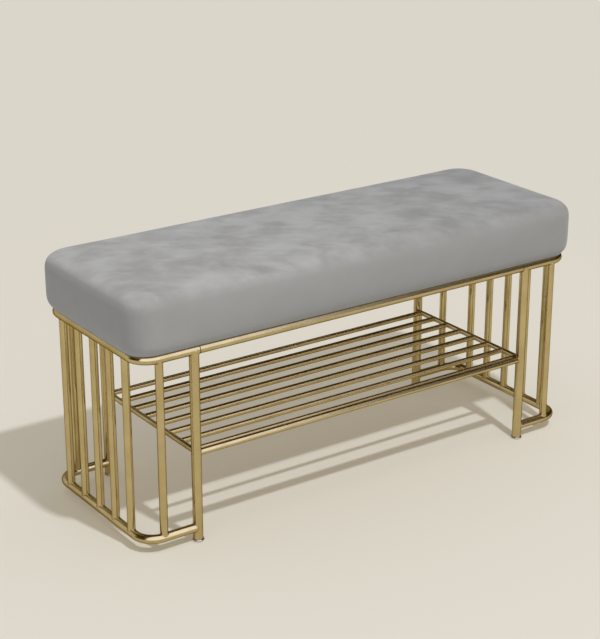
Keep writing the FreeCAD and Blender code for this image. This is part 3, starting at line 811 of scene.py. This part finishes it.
def rayKinds(tree):
    # what the camera looks at directly, and what it sees in a mirror or through something clear
    path = addNode(tree, "ShaderNodeLightPath").outputs
    mirrored = addNode(tree, "ShaderNodeMath", {0: path["Is Glossy Ray"], 1: path["Is Transmission Ray"]},
                       operation="MAXIMUM")
    return path["Is Camera Ray"], mirrored.outputs[0]


def makeFloor():
    # plain matt studio floor, so large that only floor shows behind the bench
    look = floorLook
    material, tree = startMaterial("paleFloorPaint")
    place = addNode(tree, "ShaderNodeTexCoord").outputs["Object"]
    cloud = addNode(tree, "ShaderNodeTexNoise", {"Vector": place, "Scale": look["cloudScale"], "Detail": 2})
    low, high = look["rough"]
    gloss = addNode(tree, "ShaderNodeMapRange", {0: cloud.outputs[0], 3: low, 4: high})
    mixed = addNode(tree, "ShaderNodeBsdfPrincipled", {
        "Base Color": linear(look["paint"]), "Roughness": gloss.outputs[0], "Specular IOR Level": look["shine"]})
    # part of what is seen of the floor is its plain colour, which keeps the background even and the shadow soft;
    # its warm glow share is painted fill light that lightens and warms the bench's shadow
    direct, mirrored = rayKinds(tree)
    looked = addNode(tree, "ShaderNodeMath", {0: direct, 1: mirrored}, operation="MAXIMUM")
    away = addNode(tree, "ShaderNodeVectorMath", {0: place}, operation="LENGTH")
    start, end = look["fade"]
    far = addNode(tree, "ShaderNodeMapRange", {0: away.outputs["Value"], 1: start, 2: end},
                  interpolation_type="SMOOTHSTEP")
    for share, colour in ((look["glow"], "shadowFillTint"), (far.outputs[0], "farTint")):
        amount = addNode(tree, "ShaderNodeMath", {0: looked.outputs[0], 1: share}, operation="MULTIPLY")
        plain = addNode(tree, "ShaderNodeEmission", {0: linear(look[colour])})
        mixed = addNode(tree, "ShaderNodeMixShader", {
            0: amount.outputs[0], 1: mixed.outputs[0], 2: plain.outputs[0]})
    addNode(tree, "ShaderNodeOutputMaterial", {0: mixed.outputs[0]})
    shape = bmesh.new()
    bmesh.ops.create_circle(shape, cap_ends=True, segments=look["sides"], radius=look["radius"])
    floor = addObject("floor", meshFrom(shape, "floor"))
    floor.data.materials.append(material)


def makeLamp():
    # one lamp over the front, near enough that the shadow spreads, with the same level at every distance
    lamp = bpy.data.lights.new("keyLight", "POINT")
    lamp.energy = 4 * math.pi * lampLook["level"]
    lamp.shadow_soft_size = lampLook["radius"]
    lamp.use_nodes = True
    tree = lamp.node_tree
    tree.nodes.clear()
    even = addNode(tree, "ShaderNodeLightFalloff", {"Strength": 1})
    glow = addNode(tree, "ShaderNodeEmission", {"Strength": even.outputs["Constant"]})
    addNode(tree, "ShaderNodeOutputLight", {0: glow.outputs[0]})
    key = addObject("keyLight", lamp)
    key.location = lampLook["place"]
    key.visible_glossy = False  # the metal mirrors the soft box, not a bare bulb


def makeRoom():
    # soft even room light; the metal mirrors a soft box over the front left, a pale wall behind and a dim room
    look = roomLook
    world = bpy.data.worlds.new("studio")
    world.use_nodes = True
    tree = world.node_tree
    tree.nodes.clear()
    towards = addNode(tree, "ShaderNodeTexCoord").outputs["Generated"]
    axes = addNode(tree, "ShaderNodeSeparateXYZ", {0: towards}).outputs

    def rise(source, start, end):
        return addNode(tree, "ShaderNodeMapRange", {0: source, 1: start, 2: end},
                       interpolation_type="SMOOTHSTEP").outputs[0]

    def fall(source, start, end):
        return addNode(tree, "ShaderNodeMapRange", {0: source, 1: start, 2: end, 3: 1, 4: 0},
                       interpolation_type="SMOOTHSTEP").outputs[0]

    def product(first, second):
        return addNode(tree, "ShaderNodeMath", {0: first, 1: second}, operation="MULTIPLY").outputs[0]

    def mixOf(factor, first, second):
        return addNode(tree, "ShaderNodeMix", {0: factor, 6: first, 7: second}, **mixColour).outputs[2]

    def tinted(colour, level):
        return [c * level for c in linear(colour)[:3]] + [1]

    def grey(level):
        return [level] * 3 + [1]

    right, rightEdge, leftEdge = look["boxRight"], look["rightEdge"], look["leftEdge"]
    left = math.radians(look["boxLeft"])  # the box's left end, turned from straight ahead of the bench
    inside = addNode(tree, "ShaderNodeVectorMath", {0: towards, 1: (math.cos(left), -math.sin(left), 0)},
                     operation="DOT_PRODUCT").outputs["Value"]
    inBox = product(fall(axes[0], right - rightEdge, right + rightEdge), rise(inside, -leftEdge, leftEdge))
    onWall = product(fall(axes[2], *look["wallTop"]), rise(axes[1], *look["wallFront"]))
    wall = mixOf(rise(axes[0], *look["wallTurn"]), grey(look["wallLeft"]), grey(look["wallRight"]))
    around = mixOf(onWall, tinted(look["dimTint"], look["dim"]), wall)
    around = mixOf(inBox, around, tinted(look["boxTint"], look["softBox"]))
    # past the floor's edge the camera sees the floor's own plain colour
    direct, mirrored = rayKinds(tree)
    shown = mixOf(direct, mixOf(mirrored, grey(look["light"]), around), linear(floorLook["farTint"]))
    sky = addNode(tree, "ShaderNodeBackground", {0: shown})
    addNode(tree, "ShaderNodeOutputWorld", {0: sky.outputs[0]})
    scene.world = world
    scene.view_settings.view_transform = "Standard"


cameraPlace = {"location": (-1.7681, -2.4662, 1.4470), "turn": (1.2056, 0, -0.6105), "lens": 95.6, "sensor": 36}


def makeCamera():
    lens = bpy.data.cameras.new("camera")
    lens.lens = cameraPlace["lens"]
    lens.sensor_width = cameraPlace["sensor"]
    lens.sensor_fit = "AUTO"
    camera = addObject("camera", lens)
    camera.location = cameraPlace["location"]
    camera.rotation_euler = cameraPlace["turn"]
    scene.camera = camera


makeFloor()
makeLamp()
makeRoom()
makeCamera()
print("stage set")
